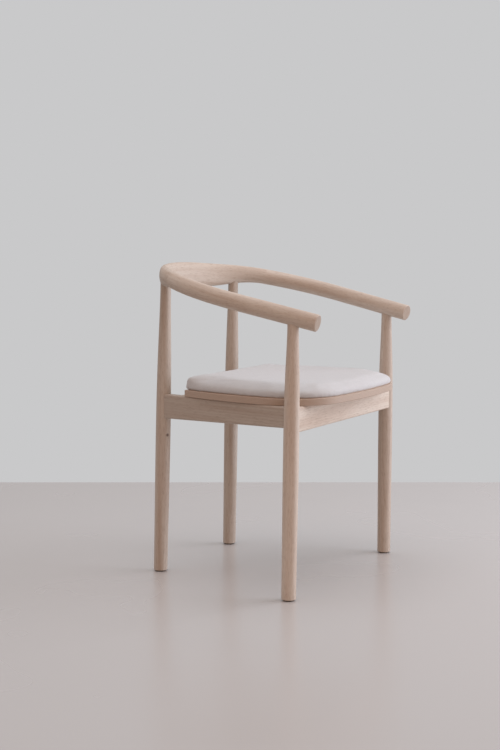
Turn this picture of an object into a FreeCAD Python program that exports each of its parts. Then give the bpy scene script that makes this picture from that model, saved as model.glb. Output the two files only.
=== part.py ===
import FreeCAD, Part
import math
import os

# Wooden armchair: four turned legs, four seat rails, a horseshoe arm and back rail, and a padded seat.
# It faces -Y, +X is the sitter's left, and the origin is on the floor at the middle of the footprint.

V = FreeCAD.Vector

# Seat frame: the side rails are deeper at the rear, and the rear rail sits lower than the others
rail_top = 405.0
front_rail_height = 53.0
side_rail_height_front = 43.5
side_rail_height_rear = 54.5
rear_rail_height = 40.0
rear_rail_drop = 12.5
front_rail_thickness = 26.0
side_rail_thickness = 22.0
rail_edge_radius = 4.0

# Horseshoe arm and back rail: its centreline lies in a plane that rises towards the back,
# except that the middle of the back dips below that plane
bow_radius = 260.5
bow_centre_y = -29.0
bow_turn = 96.0
arm_end_y = -236.0
arm_end_height = 579.0
arm_rise = 0.226
arm_radius = 18.0
crest_half_height = 28.0
crest_half_thickness = 10.5
crest_lean = 12.0
crest_dip = 15.0
crest_flat_angle = 16.0
crest_joint_angle = 54.0
crest_squareness = 0.5
section_points = 20
crest_spans = 14
bend_spans = 5
arm_end_round = 2.5
joint_tenon_radius = 7.0
joint_tenon_length = 44.0

# Legs: each top meets the rail's centreline, and each foot stands out from below its top
front_leg_setback = 55.0
front_splay_x = 8.0
front_splay_y = 5.0
rear_leg_angle = 36.2
rear_splay_x = 5.5
rear_splay_y = 15.5
leg_foot_radius = 15.4
leg_calf_radius = 16.2
leg_seat_radius = 16.5
leg_top_radius = 11.8
leg_calf_share = 0.45
leg_seat_share = 0.88
leg_taper_share = 0.35
leg_top_straight = 20.0
leg_foot_allowance = 10.0
leg_tenon_radius = 7.5
leg_tenon_depth = 8.0
leg_tenon_root = 40.0

# Seat board and pad, placed from the legs at seat height
board_thickness = 14.5
board_front_overhang = 64.0
board_corner_inset = 2.0
board_corner_overhang = 37.0
board_side_bulge = 17.0
board_rear_setback = 70.0
board_rail_inset = 1.0
board_front_corner_radius = 113.0
board_rear_corner_radius = 7.0
board_edge_radius = 1.5
pad_base_thickness = 5.0
pad_base_inset = 6.0
pad_thickness = 31.0
pad_inset = 1.0
pad_crown_radius = 13.0

# Joints and hidden pieces
tenon_thickness = 9.0
tenon_shoulder = 7.0
tenon_reach = 2.0
mitre_reach = 12.0
block_height = 32.0
block_start = 23.0
block_end = 72.0
block_screw_inset = 0.26
block_screw_levels = (0.34, 0.66)
batten_width = 30.0
batten_height = 32.0
batten_rear_gap = 12.0
batten_screw_share = 0.55
glide_radius = 12.5
glide_thickness = 3.0
glide_edge = 0.5
nail_radius = 1.1
nail_length = 16.0
nail_head_radius = 3.0
nail_head_thickness = 0.8
nail_recess = 1.0
screw_radius = 2.0
screw_head_radius = 4.0
screw_head_depth = 2.6
block_screw_length = 36.0
seat_screw_grip = 9.0
pad_screw_spread = 120.0
pad_screw_front_inset = 79.0
pad_screw_rear_inset = 64.0
tnut_flange_radius = 8.0
tnut_flange_thickness = 1.2
tnut_barrel_radius = 3.4

# Clearances
glue_gap = 0.05
mitre_gap = 0.6
hole_clearance = 0.1
socket_depth_gap = 1.0
foam_gap = 0.2

sides = {"left": 1.0, "right": -1.0}
UP = V(0, 0, 1)


def crest_blend(angle):
    """How far the round arm (0) has turned into the crest (1) at an angle from the back's middle."""
    share = (abs(angle) - crest_flat_angle) / (crest_joint_angle - crest_flat_angle)
    return 0.5 + 0.5 * math.cos(math.pi * min(max(share, 0.0), 1.0))


def rail_height(angle, y):
    """Height of the arm rail's centreline."""
    return arm_end_height + arm_rise * (y - arm_end_y) - crest_dip * crest_blend(angle)


def bow_station(angle):
    """Centre and tangent of the bow at an angle from the middle of the back, left positive."""
    turn = math.radians(angle)
    y = bow_centre_y + bow_radius * math.cos(turn)
    centre = V(bow_radius * math.sin(turn), y, rail_height(angle, y))
    return centre, V(math.cos(turn), -math.sin(turn), -arm_rise * math.sin(turn)).normalize()


def fore_arm(side, back_from_end=0.0):
    """Start of the straight fore-arm, and its point a given distance back from the front end."""
    start, tangent = bow_station(bow_turn)
    end = start + tangent * ((arm_end_y - start.y) / tangent.y - back_from_end)
    sign = sides[side]
    return V(sign * start.x, start.y, start.z), V(sign * end.x, end.y, end.z)


def leg_ends(end, side):
    """Floor point and top point of a leg's axis; the top lies on the arm rail's centreline."""
    sign = sides[side]
    if end == "front":
        _, top = fore_arm(side, front_leg_setback)
        splay = V(sign * front_splay_x, front_splay_y, 0)
    else:
        top, _ = bow_station(sign * rear_leg_angle)
        splay = V(sign * rear_splay_x, rear_splay_y, 0)
    return V(top.x, top.y, 0) + splay, top


def leg_point(end, side, height):
    foot, top = leg_ends(end, side)
    return foot + (top - foot) * (height / top.z)


def oriented(shape, base, direction, across=None):
    """Move a shape built along +Z at the origin so that it runs from base along direction."""
    z_axis = V(direction).normalize()
    hint = across if across else (V(1, 0, 0) if abs(z_axis.x) < 0.9 else V(0, 1, 0))
    y_axis = z_axis.cross(hint).normalize()
    x_axis = y_axis.cross(z_axis)
    turn = FreeCAD.Matrix(
        x_axis.x, y_axis.x, z_axis.x, base.x,
        x_axis.y, y_axis.y, z_axis.y, base.y,
        x_axis.z, y_axis.z, z_axis.z, base.z,
        0, 0, 0, 1)
    moved = shape.copy()
    moved.Placement = FreeCAD.Placement(turn)
    return moved


def rod(base, direction, radius, length):
    return oriented(Part.makeCylinder(radius, length), base, direction)


def prism(points, thickness_vector):
    face = Part.Face(Part.makePolygon(points + points[:1]))
    return face.extrude(thickness_vector)


def leg_blank(end, side):
    """Turned leg before its joints are cut: slim at the top, and fullest at the seat rails."""
    foot, top = leg_ends(end, side)
    length = (top - foot).Length
    taper = leg_top_radius - leg_seat_radius
    stations = [
        (-leg_foot_allowance, leg_foot_radius),
        (0.0, leg_foot_radius),
        (leg_calf_share * rail_top, leg_calf_radius),
        (leg_seat_share * rail_top, leg_seat_radius),
        (rail_top + leg_taper_share * (length - rail_top), leg_seat_radius + leg_taper_share * taper),
        (length - leg_top_straight, leg_top_radius),
        (length, leg_top_radius),
    ]
    curve = Part.BSplineCurve()
    curve.interpolate([V(radius, 0, z) for z, radius in stations])
    low, high = stations[0][0], stations[-1][0]
    outline = Part.Wire([
        curve.toShape(),
        Part.makeLine(V(stations[-1][1], 0, high), V(0, 0, high)),
        Part.makeLine(V(0, 0, high), V(0, 0, low)),
        Part.makeLine(V(0, 0, low), V(stations[0][1], 0, low)),
    ])
    blank = Part.Face(outline).revolve(V(0, 0, 0), UP, 360)
    solid = oriented(Part.Solid(Part.Shell(blank.Faces)), foot, top - foot)
    below = 2 * leg_foot_allowance
    waste = Part.makeCylinder(2 * leg_foot_radius, below, V(foot.x, foot.y, glide_thickness - below))
    return solid.cut(waste)


# Arm and back rail

def section(centre, tangent, half_height, half_thickness, squareness, lean):
    """Closed rounded section across the rail; a positive lean tips its top away from the sitter."""
    outward = tangent.cross(UP).normalize()
    if outward.dot(V(centre.x, centre.y - bow_centre_y, 0)) < 0:
        outward = outward * -1
    rise = outward.cross(tangent).normalize()
    if rise.z < 0:
        rise = rise * -1
    tip = math.radians(lean)
    tall = rise * math.cos(tip) + outward * math.sin(tip)
    wide = outward * math.cos(tip) - rise * math.sin(tip)
    power = 2.0 / squareness
    points = []
    for step in range(section_points):
        around = 2 * math.pi * step / section_points
        c, s = math.cos(around), math.sin(around)
        x = half_thickness * math.copysign(abs(c) ** power, c)
        y = half_height * math.copysign(abs(s) ** power, s)
        points.append(centre + wide * x + tall * y)
    curve = Part.BSplineCurve()
    curve.interpolate(points, True)
    return Part.Wire(curve.toShape())


def bow_section(angle):
    """Section of the bow: a tall blade in the middle of the back that melts into the round arms."""
    blend = crest_blend(angle)
    half_height = arm_radius + (crest_half_height - arm_radius) * blend
    half_thickness = arm_radius + (crest_half_thickness - arm_radius) * blend
    centre, tangent = bow_station(angle)
    squareness = 2.0 + crest_squareness * blend
    return section(centre, tangent, half_height, half_thickness, squareness, crest_lean * blend)


def bow_sections(first, last, spans):
    return [bow_section(first + (last - first) * i / spans) for i in range(spans + 1)]


def crest_blank():
    return Part.makeLoft(bow_sections(-crest_joint_angle, crest_joint_angle, crest_spans), True, False)


def arm_blank(side):
    """One arm: it bends forward out of the crest and runs straight to its rounded front end."""
    sign = sides[side]
    start, end = fore_arm(side)
    bend = Part.makeLoft(bow_sections(sign * crest_joint_angle, sign * bow_turn, bend_spans), True, False)
    bend_end = min(bend.Faces, key=lambda f: (f.CenterOfMass - start).Length)
    fore = bend_end.extrude(end - start)
    rim = [e for e in fore.Edges if e.isClosed() and (e.CenterOfMass - end).Length < arm_radius]
    return bend.fuse(fore.makeFillet(arm_end_round, rim))


def joint_tenon(side, clearance=0.0):
    """Loose round tenon that joins an arm to the crest."""
    centre, tangent = bow_station(sides[side] * crest_joint_angle)
    half = joint_tenon_length / 2 + (socket_depth_gap if clearance else 0.0)
    return rod(centre - tangent * half, tangent, joint_tenon_radius + clearance, 2 * half)


def leg_top_tenon(end, side, clearance=0.0):
    """Round tenon on a leg's top, from below the shoulder up into the arm rail."""
    foot, top = leg_ends(end, side)
    axis = (top - foot).normalize()
    reach = leg_tenon_depth + (socket_depth_gap if clearance else 0.0)
    start = top - axis * leg_tenon_root
    return rod(start, axis, leg_tenon_radius + clearance, leg_tenon_root + reach)


# Seat rails

class Rail:
    """A seat rail between two legs, with its height at each end, its top and its thickness."""

    def __init__(self, first, second, height_first, height_second, top, thickness):
        self.legs = (first, second)
        self.lows = (top - height_first, top - height_second)
        self.top = top
        self.thickness = thickness
        middle = (min(self.lows) + top) / 2
        self.start = leg_point(*first, middle)
        self.stop = leg_point(*second, middle)
        self.along = V(self.stop.x - self.start.x, self.stop.y - self.start.y, 0).normalize()
        self.across = UP.cross(self.along)

    def leaving(self, leg):
        """Point on a leg's axis, and the level direction in which the rail leaves it."""
        return (self.start, self.along) if self.legs[0] == leg else (self.stop, self.along * -1)

    def axis_x(self, y):
        return self.start.x + self.along.x * (y - self.start.y) / self.along.y

    def face_shift(self):
        """Distance along X from a side rail's centre plane to its face."""
        return self.thickness / 2 / abs(self.along.y)


def side_rail(side):
    return Rail(("front", side), ("rear", side), side_rail_height_front, side_rail_height_rear, rail_top,
                side_rail_thickness)


rails = {
    "front_rail": Rail(("front", "right"), ("front", "left"), front_rail_height, front_rail_height, rail_top,
                       front_rail_thickness),
    "rear_rail": Rail(("rear", "right"), ("rear", "left"), rear_rail_height, rear_rail_height,
                      rail_top - rear_rail_drop, side_rail_thickness),
    "side_rail_left": side_rail("left"),
    "side_rail_right": side_rail("right"),
}
leg_rails = {
    ("front", "left"): ("front_rail", "side_rail_left"),
    ("front", "right"): ("front_rail", "side_rail_right"),
    ("rear", "left"): ("rear_rail", "side_rail_left"),
    ("rear", "right"): ("rear_rail", "side_rail_right"),
}


def rail_body(rail):
    offset = rail.across * (-rail.thickness / 2)
    start, stop = rail.start, rail.stop
    corners = [V(start.x, start.y, rail.lows[0]), V(stop.x, stop.y, rail.lows[1]),
               V(stop.x, stop.y, rail.top), V(start.x, start.y, rail.top)]
    body = prism([c + offset for c in corners], rail.across * rail.thickness)
    long_edges = [e for e in body.Edges if e.Length > 0.8 * (stop - start).Length]
    return body.makeFillet(rail_edge_radius, long_edges)


def neighbour(name, leg):
    """The other rail that meets the same leg."""
    return rails[[n for n in leg_rails[leg] if n != name][0]]


def mitred(shape, name, leg):
    """Cut a rail's end back from the plane that halves the corner between a leg's two rails."""
    base, out = rails[name].leaving(leg)
    _, other_out = neighbour(name, leg).leaving(leg)
    normal = (out - other_out).normalize()
    size = mitre_reach * leg_seat_radius
    cutter = Part.makeBox(size, size, size, V(-size / 2, -size / 2, 0))
    return shape.cut(oriented(cutter, base + normal * (mitre_gap / 2), normal * -1, UP))


def tenon(name, leg, mortise=False):
    """Rail tenon, mitred against the neighbouring rail's tenon inside the leg, or the mortise for it."""
    rail = rails[name]
    low = max(rail.lows) + tenon_shoulder
    high = rail.top - tenon_shoulder
    base, out = rail.leaving(leg)
    across = UP.cross(out)
    gap = glue_gap if mortise else 0.0
    back = tenon_thickness + (socket_depth_gap if mortise else 0.0)
    reach = tenon_reach * leg_seat_radius
    half = tenon_thickness / 2 + gap
    corners = [base - out * back - across * half, base + out * reach - across * half,
               base + out * reach + across * half, base - out * back + across * half]
    for corner in corners:
        corner.z = low - gap
    bar = prism(corners, V(0, 0, high - low + 2 * gap))
    return bar if mortise else mitred(bar, name, leg)


# Seat

board_top = rail_top + board_thickness
pad_base_top = board_top + pad_base_thickness
pad_top = board_top + pad_thickness
front_leg_at_seat = leg_point("front", "left", rail_top)
rear_leg_at_seat = leg_point("rear", "left", rail_top)
board_front_y = front_leg_at_seat.y - board_front_overhang
board_rear_y = rear_leg_at_seat.y - board_rear_setback
board_corner = V(front_leg_at_seat.x - board_corner_inset, front_leg_at_seat.y - board_corner_overhang, 0)
board_rear_x = (rails["side_rail_left"].axis_x(board_rear_y) + rails["side_rail_left"].face_shift()
                - board_rail_inset)


def seat_outline(inset=0.0):
    """Plan outline of the seat: bowed front, gently bowed sides and a straight rear edge."""
    front = V(0, board_front_y + inset, 0)
    corner = V(board_corner.x - inset, board_corner.y + inset, 0)
    rear = V(board_rear_x - inset, board_rear_y - inset, 0)
    middle = (corner + rear) * 0.5 + V(board_side_bulge, 0, 0)
    mirror = [V(-p.x, p.y, 0) for p in (corner, middle, rear)]
    edges = [
        Part.Arc(mirror[0], front, corner).toShape(),
        Part.Arc(corner, middle, rear).toShape(),
        Part.makeLine(rear, mirror[2]),
        Part.Arc(mirror[2], mirror[1], mirror[0]).toShape(),
    ]
    return Part.Face(Part.Wire(edges))


def upright_edges_at(shape, x, y):
    """Vertical edges of a slab at plan points (x, y) and (-x, y)."""
    return [e for e in shape.Edges if abs(e.tangentAt(e.FirstParameter).z) > 0.9
            and abs(abs(e.CenterOfMass.x) - x) < 0.1 and abs(e.CenterOfMass.y - y) < 0.1]


def seat_slab(low, thickness, inset=0.0):
    slab = seat_outline(inset).extrude(V(0, 0, thickness))
    front = upright_edges_at(slab, board_corner.x - inset, board_corner.y + inset)
    slab = slab.makeFillet(board_front_corner_radius - inset, front)
    rear = upright_edges_at(slab, board_rear_x - inset, board_rear_y - inset)
    slab = slab.makeFillet(board_rear_corner_radius, rear)
    slab.translate(V(0, 0, low))
    return slab


def level_edges(shape, height):
    return [e for e in shape.Edges
            if abs(e.BoundBox.ZMin - height) < 0.01 and abs(e.BoundBox.ZMax - height) < 0.01]


def batten_shape():
    """Cross batten that carries the rear edge of the seat board between the side rails."""
    y_rear = board_rear_y - batten_rear_gap
    y_front = y_rear - batten_width
    side = rails["side_rail_left"]
    front_x, rear_x = (side.axis_x(y) - side.face_shift() for y in (y_front, y_rear))
    low = rail_top - batten_height
    corners = [V(-front_x, y_front, low), V(front_x, y_front, low),
               V(rear_x, y_rear, low), V(-rear_x, y_rear, low)]
    return prism(corners, V(0, 0, batten_height))


def block_sides(leg):
    """For each of a leg's rails: near and far plan corner of the block, and the way the rail's face looks."""
    found = []
    for name in leg_rails[leg]:
        base, out = rails[name].leaving(leg)
        _, other_out = neighbour(name, leg).leaving(leg)
        inward = (other_out - out * other_out.dot(out)).normalize()
        face = V(base.x, base.y, 0) + inward * (rails[name].thickness / 2)
        found.append((face + out * block_start, face + out * block_end, inward))
    return found


def block_heights(leg):
    top = min(rails[name].top for name in leg_rails[leg])
    if leg[0] == "rear":
        top -= rail_edge_radius
    return top - block_height, top


def corner_block(leg):
    (near, far, _), (other_near, other_far, _) = block_sides(leg)
    low, high = block_heights(leg)
    points = [V(p.x, p.y, low) for p in (near, far, other_far, other_near)]
    return prism(points, V(0, 0, high - low))


def screw(head, direction, length, clearance=0.0):
    """Countersunk wood screw: its head's flat face is at head, and its shank runs along direction."""
    axis = V(direction).normalize()
    shank = rod(head, axis, screw_radius + clearance, length + clearance)
    cone = Part.makeCone(screw_head_radius + clearance, screw_radius + clearance, screw_head_depth)
    return shank.fuse(oriented(cone, head, axis))


def block_screw_places(leg):
    """Each corner block has one screw into each of its two rails, one above the other where they cross."""
    (_, far, inward), (_, other_far, other_inward) = block_sides(leg)
    low, _ = block_heights(leg)
    places = []
    pairs = ((far, other_far, inward), (other_far, far, other_inward))
    for (own, other, direction), level in zip(pairs, block_screw_levels):
        head = own + (other - own) * block_screw_inset
        head.z = low + level * block_height
        places.append((head, direction * -1))
    return places


def seat_screw_places():
    """Two screws rise through the front blocks and two through the rear batten into the seat board."""
    places = []
    for side, sign in sides.items():
        leg = ("front", side)
        (near, far, _), (other_near, other_far, _) = block_sides(leg)
        centre = (near + far + other_near + other_far) * 0.25
        places.append(V(centre.x, centre.y, block_heights(leg)[0]))
        batten_middle = board_rear_y - batten_rear_gap - batten_width / 2
        places.append(V(sign * board_rear_x * batten_screw_share, batten_middle, rail_top - batten_height))
    return places


def pad_screw_places():
    rows = (board_front_y + pad_screw_front_inset, board_rear_y - pad_screw_rear_inset)
    return [V(sign * pad_screw_spread, y, rail_top) for sign in sides.values() for y in rows]


def tnut(place, clearance=0.0):
    flange = Part.makeCylinder(tnut_flange_radius + clearance, tnut_flange_thickness + clearance,
                               V(place.x, place.y, pad_base_top))
    barrel = Part.makeCylinder(tnut_barrel_radius + clearance, pad_base_thickness,
                               V(place.x, place.y, board_top))
    return flange.fuse(barrel)


def drilled(shape, holes):
    """Cut only the holes that reach the shape."""
    for hole in holes:
        if shape.BoundBox.intersect(hole.BoundBox):
            shape = shape.cut(hole)
    return shape


def whole(shape):
    """The single solid inside a boolean's result."""
    solids = shape.Solids
    assert len(solids) == 1, len(solids)
    return solids[0]


def build_legs(nodes, crest, arms):
    """Legs scribed under the arm rail and mortised for the seat rails, with their nailed glides."""
    blanks = {leg: leg_blank(*leg) for leg in leg_rails}
    nails = []
    for leg, blank in blanks.items():
        end, side = leg
        shape = blank
        shape = shape.cut(crest if end == "rear" else arms[side])
        shape = max(shape.Solids, key=lambda s: s.Volume).fuse(leg_top_tenon(end, side))
        for name in leg_rails[leg]:
            shape = shape.cut(tenon(name, leg, mortise=True))
        foot = leg_point(end, side, glide_thickness)
        foot.z = 0
        nail_base = foot + UP * nail_recess
        nail = Part.makeCylinder(nail_radius, nail_length, nail_base)
        head = Part.makeCylinder(nail_head_radius, nail_head_thickness, nail_base)
        nails.append(nail.fuse(head))
        nail_hole = Part.makeCylinder(nail_radius + hole_clearance, nail_length + hole_clearance, nail_base)
        nodes["%s_leg_%s" % leg] = whole(shape.cut(nail_hole))
        glide = Part.makeCylinder(glide_radius, glide_thickness, foot)
        glide = glide.makeChamfer(glide_edge, level_edges(glide, 0.0))
        recess = Part.makeCylinder(nail_head_radius + hole_clearance,
                                   nail_recess + nail_head_thickness + hole_clearance, foot)
        nodes["%s_glide_%s" % leg] = whole(glide.cut(recess).cut(nail_hole))
    nodes["glide_nails"] = Part.makeCompound(nails)
    return blanks


def build_arm_rail(nodes, crest, arms):
    sockets = [leg_top_tenon(end, side, glue_gap) for end, side in leg_rails]
    joints = [joint_tenon(side, glue_gap) for side in sides]
    nodes["crest"] = whole(drilled(crest, sockets + joints))
    for side, arm in arms.items():
        nodes["arm_%s" % side] = whole(drilled(arm, sockets + joints))
    nodes["arm_joint_tenons"] = Part.makeCompound([joint_tenon(side) for side in sides])


def build_seat_frame(nodes, blanks):
    """Seat rails coped to the round legs, with screwed corner blocks and the rear batten."""
    block_screws = []
    block_holes = []
    for leg in leg_rails:
        for head, direction in block_screw_places(leg):
            block_screws.append(screw(head, direction, block_screw_length))
            block_holes.append(screw(head, direction, block_screw_length, hole_clearance))
    for name, rail in rails.items():
        body = rail_body(rail)
        for leg in rail.legs:
            body = mitred(body, name, leg).cut(blanks[leg])
        body = max(body.Solids, key=lambda s: s.Volume)
        for leg in rail.legs:
            body = body.fuse(tenon(name, leg))
        nodes[name] = whole(drilled(body, block_holes))
    nodes["block_screws"] = Part.makeCompound(block_screws)
    return block_holes


def build_seat(nodes, block_holes):
    """Seat board on the rails, held from below, and the upholstered pad bolted to the board."""
    seat_screws = []
    seat_holes = []
    for place in seat_screw_places():
        length = rail_top + seat_screw_grip - place.z
        seat_screws.append(screw(place, UP, length))
        seat_holes.append(screw(place, UP, length, hole_clearance))
    pad_screw_length = pad_base_top + tnut_flange_thickness - rail_top
    places = pad_screw_places()
    pad_holes = [screw(place, UP, pad_screw_length, hole_clearance) for place in places]

    for leg in leg_rails:
        nodes["%s_block_%s" % leg] = whole(drilled(corner_block(leg), block_holes + seat_holes))
    nodes["seat_batten"] = whole(drilled(batten_shape(), seat_holes))
    nodes["seat_screws"] = Part.makeCompound(seat_screws)
    board = seat_slab(rail_top, board_thickness)
    board = board.makeFillet(board_edge_radius, level_edges(board, rail_top) + level_edges(board, board_top))
    nodes["seat_board"] = whole(drilled(board, seat_holes + pad_holes))
    base = seat_slab(board_top, pad_base_thickness, pad_base_inset)
    tnut_holes = [tnut(place, hole_clearance) for place in places]
    nodes["pad_base"] = whole(drilled(base, pad_holes + tnut_holes))
    nodes["pad_screws"] = Part.makeCompound([screw(place, UP, pad_screw_length) for place in places])
    nodes["pad_tnuts"] = Part.makeCompound([tnut(place).cut(hole) for place, hole in zip(places, pad_holes)])
    pad = seat_slab(board_top + foam_gap, pad_thickness - foam_gap, pad_inset)
    pad = pad.makeFillet(pad_crown_radius, level_edges(pad, pad_top))
    cavity = seat_slab(board_top, pad_base_thickness + foam_gap, pad_base_inset - foam_gap)
    nodes["seat_pad"] = whole(drilled(pad.cut(cavity), [tnut(place, foam_gap) for place in places]))


def build():
    nodes = {}
    crest = crest_blank()
    arms = {side: arm_blank(side) for side in sides}
    blanks = build_legs(nodes, crest, arms)
    build_arm_rail(nodes, crest, arms)
    block_holes = build_seat_frame(nodes, blanks)
    build_seat(nodes, block_holes)
    return nodes


os.makedirs("parts", exist_ok=True)
for name, shape in build().items():
    shape.exportStep("parts/%s.step" % name)
    print(name, len(shape.Solids), shape.isValid(), round(shape.Volume / 1000, 1))
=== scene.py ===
import math
from functools import partial

import bmesh
import bpy
import numpy as np
from mathutils import Matrix, Vector


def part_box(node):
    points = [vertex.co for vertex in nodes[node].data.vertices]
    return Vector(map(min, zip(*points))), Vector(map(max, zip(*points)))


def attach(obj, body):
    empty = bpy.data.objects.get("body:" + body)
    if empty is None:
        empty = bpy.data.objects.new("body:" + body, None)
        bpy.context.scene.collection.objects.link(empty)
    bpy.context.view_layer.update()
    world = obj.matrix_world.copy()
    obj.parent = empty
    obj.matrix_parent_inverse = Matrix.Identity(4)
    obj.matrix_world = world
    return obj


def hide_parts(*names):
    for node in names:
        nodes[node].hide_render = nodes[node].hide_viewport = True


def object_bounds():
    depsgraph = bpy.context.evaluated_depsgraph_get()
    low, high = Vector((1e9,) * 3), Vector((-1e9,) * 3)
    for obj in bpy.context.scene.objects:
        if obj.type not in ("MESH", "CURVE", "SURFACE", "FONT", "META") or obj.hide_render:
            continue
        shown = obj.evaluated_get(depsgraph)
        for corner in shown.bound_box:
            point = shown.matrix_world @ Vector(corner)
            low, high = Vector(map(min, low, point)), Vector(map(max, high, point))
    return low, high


# A pale wooden armchair with a horseshoe arm rail and a padded seat. Metres, +Z up, it faces -Y.

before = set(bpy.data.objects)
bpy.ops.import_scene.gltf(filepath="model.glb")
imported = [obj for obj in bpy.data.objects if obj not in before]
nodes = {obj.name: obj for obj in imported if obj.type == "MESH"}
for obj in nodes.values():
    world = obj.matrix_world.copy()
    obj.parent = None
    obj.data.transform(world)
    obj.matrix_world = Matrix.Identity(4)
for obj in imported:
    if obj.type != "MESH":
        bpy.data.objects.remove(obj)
cadLow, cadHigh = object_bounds()
mm = 0.001
weldGap = 0.01 * mm
print("frame loaded:", len(nodes), "nodes")


# Colours go in as sRGB and come out linear; a tone above 1 lightens them
def hexColour(code, tone=1.0):
    parts = [int(code[i:i + 2], 16) / 255 for i in (1, 3, 5)]
    linear = [c / 12.92 if c <= 0.04045 else ((c + 0.055) / 1.055) ** 2.4 for c in parts]
    return tuple(c * tone for c in linear) + (1.0,)


# Inputs come in socket order, or by name or number. A node given as an input links its first
# output. Stops are a colour ramp's places, each with a grey or a colour.
def addNode(tree, kind, inputs=(), stops=(), **settings):
    node = tree.nodes.new(kind)
    for name, value in settings.items():
        setattr(node, name, value)
    for key, value in inputs.items() if isinstance(inputs, dict) else enumerate(inputs):
        if isinstance(value, bpy.types.Node):
            value = value.outputs[0]
        if isinstance(value, bpy.types.NodeSocket):
            tree.links.new(value, node.inputs[key])
        else:
            node.inputs[key].default_value = value
    if stops:
        elements = node.color_ramp.elements
        while len(elements) < len(stops):
            elements.new(0.5)
        for element, (place, colour) in zip(elements, stops):
            element.position = place
            element.color = colour if isinstance(colour, tuple) else (colour, colour, colour, 1)
    return node


def newMaterial(name):
    material = bpy.data.materials.new(name)
    material.use_nodes = True
    tree = material.node_tree
    tree.nodes.clear()
    return material, tree


def finishMaterial(tree, colour, roughness, shader, bump=None):
    inputs = {"Base Color": colour, "Roughness": roughness, **shader}
    if bump is not None:
        inputs["Normal"] = bump
    surface = addNode(tree, "ShaderNodeBsdfPrincipled", inputs)
    addNode(tree, "ShaderNodeOutputMaterial", {"Surface": surface})


def paint(names, material):
    for name in names:
        obj = nodes[name]
        if not obj.material_slots:
            obj.data.materials.append(material)
        for slot in obj.material_slots:
            slot.material = material


def middleOf(name):
    low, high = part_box(name)
    return (low + high) / 2


# Soaped pale hardwood, planed and sanded: dry and matt, with fine straight grain.

soapedWood = {
    "light": "#d7cabd", "middle": "#cab8a9", "late": "#b29b87", "pore": "#967e69",
    "endGrain": "#97806e",
    "ringSpacing": 5.0,      # mm between growth rings, wider than the real 2 mm so that they show
    "ringPith": (70, 45),    # mm from the piece to the heart of the tree
    "ringStops": ((0.0, 0), (0.55, 0.18), (0.9, 1), (1.0, 0)),   # early wood, late wood, sharp end
    "ringFade": (60.0, 300.0),                    # mm across and along a patch of clearer rings
    "ringStrength": ((0.35, 0.06), (0.68, 0.38)),
    "waver": 10.0,                                # mm that the rings wander in all
    "waverPace": (9.0, 9.0, 2.2),                 # wanders per metre, across and along
    "streak": (11.0, 300.0),                      # mm, the soft bands of tone along a board
    "streakStops": ((0.32, 0), (0.7, 1)),
    "poreSize": (0.9, 16.0),                      # mm, short open pores
    "poreStops": ((0.0, 0), (0.56, 0), (0.68, 1)), "poreStrength": 0.38,
    "endStops": ((0.72, 0), (0.95, 1)), "endStrength": 0.6,
    "rough": (0.56, 0.72),
    "poreDepth": 0.8, "ringDepth": 0.2,           # shares of the bump's depth
    "bumpStrength": 0.35, "bumpDepth": 0.15,      # mm
    "shader": {"IOR": 1.5, "Specular IOR Level": 0.4},
}
# Planed beech for what the seat hides: warmer and a little darker, never soaped
planedBeech = {**soapedWood, "light": "#cdb9a3", "middle": "#c0a88f", "late": "#aa9075",
               "pore": "#8a6f57"}
pinKnot = {"board": "rear_leg_right", "place": (-0.1626, 0.1742, 0.3129), "size": 5.0,   # mm
           "colour": "#5e4636", "stops": ((0.0, 1), (0.35, 0.8), (1.0, 0))}
# The arm rail's bend in plan, and its height, which climbs towards the rear by a share of Y
horseshoe = {"radius": 260.5 * mm, "centreY": -29.0 * mm, "rise": 0.226, "height": 625.0 * mm}

upright = (0, 0, 1)
across = (1, 0, 0)
leftRail = Vector((92.1, -369.8, 0)).normalized()      # in plan, rear to front
rightRail = (-leftRail.x, leftRail.y, 0)
armWay = Vector((0.105, 0.969, 0.219)).normalized()    # square to the arms' cut ends
noEnds = (0, 0, 0)                                     # the crest shows no end grain
# Each board has a tone, and a seed that moves its figure. The crest's, arms' and front legs' tones
# differ a little, as boards from one plank do; the side rails and rear legs are darker as painted
# shade, and the front rail lighter as painted light.
boards = {
    "front_leg_left": {"tone": 0.92, "seed": 1.7, "along": upright},
    "front_leg_right": {"tone": 1.03, "seed": 6.2, "along": upright},
    "rear_leg_left": {"tone": 0.86, "seed": 11.9, "along": upright},
    "rear_leg_right": {"tone": 0.88, "seed": 17.3, "along": upright},
    "front_rail": {"tone": 1.06, "seed": 23.1, "along": across},
    "rear_rail": {"tone": 1.0, "seed": 27.7, "along": across},
    "side_rail_left": {"tone": 0.84, "seed": 31.3, "along": leftRail},
    "side_rail_right": {"tone": 0.78, "seed": 37.9, "along": rightRail},
    "crest": {"tone": 0.98, "seed": 41.3, "along": noEnds, "phase": 0.0},
    "arm_left": {"tone": 0.99, "seed": 47.9, "along": armWay, "phase": 2.0},
    "arm_right": {"tone": 1.02, "seed": 53.7, "along": armWay, "phase": 4.0},
}
hiddenSeed = 61.1


# Grain space of a straight board: +Z runs along it
def straightGrain(tree, centre, along):
    turn = Vector(along).rotation_difference(Vector((0, 0, 1)))
    place = addNode(tree, "ShaderNodeTexCoord").outputs["Object"]
    return addNode(tree, "ShaderNodeMapping", {"Vector": place, "Rotation": turn.to_euler(),
                                               "Location": turn @ -Vector(centre)})


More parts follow.
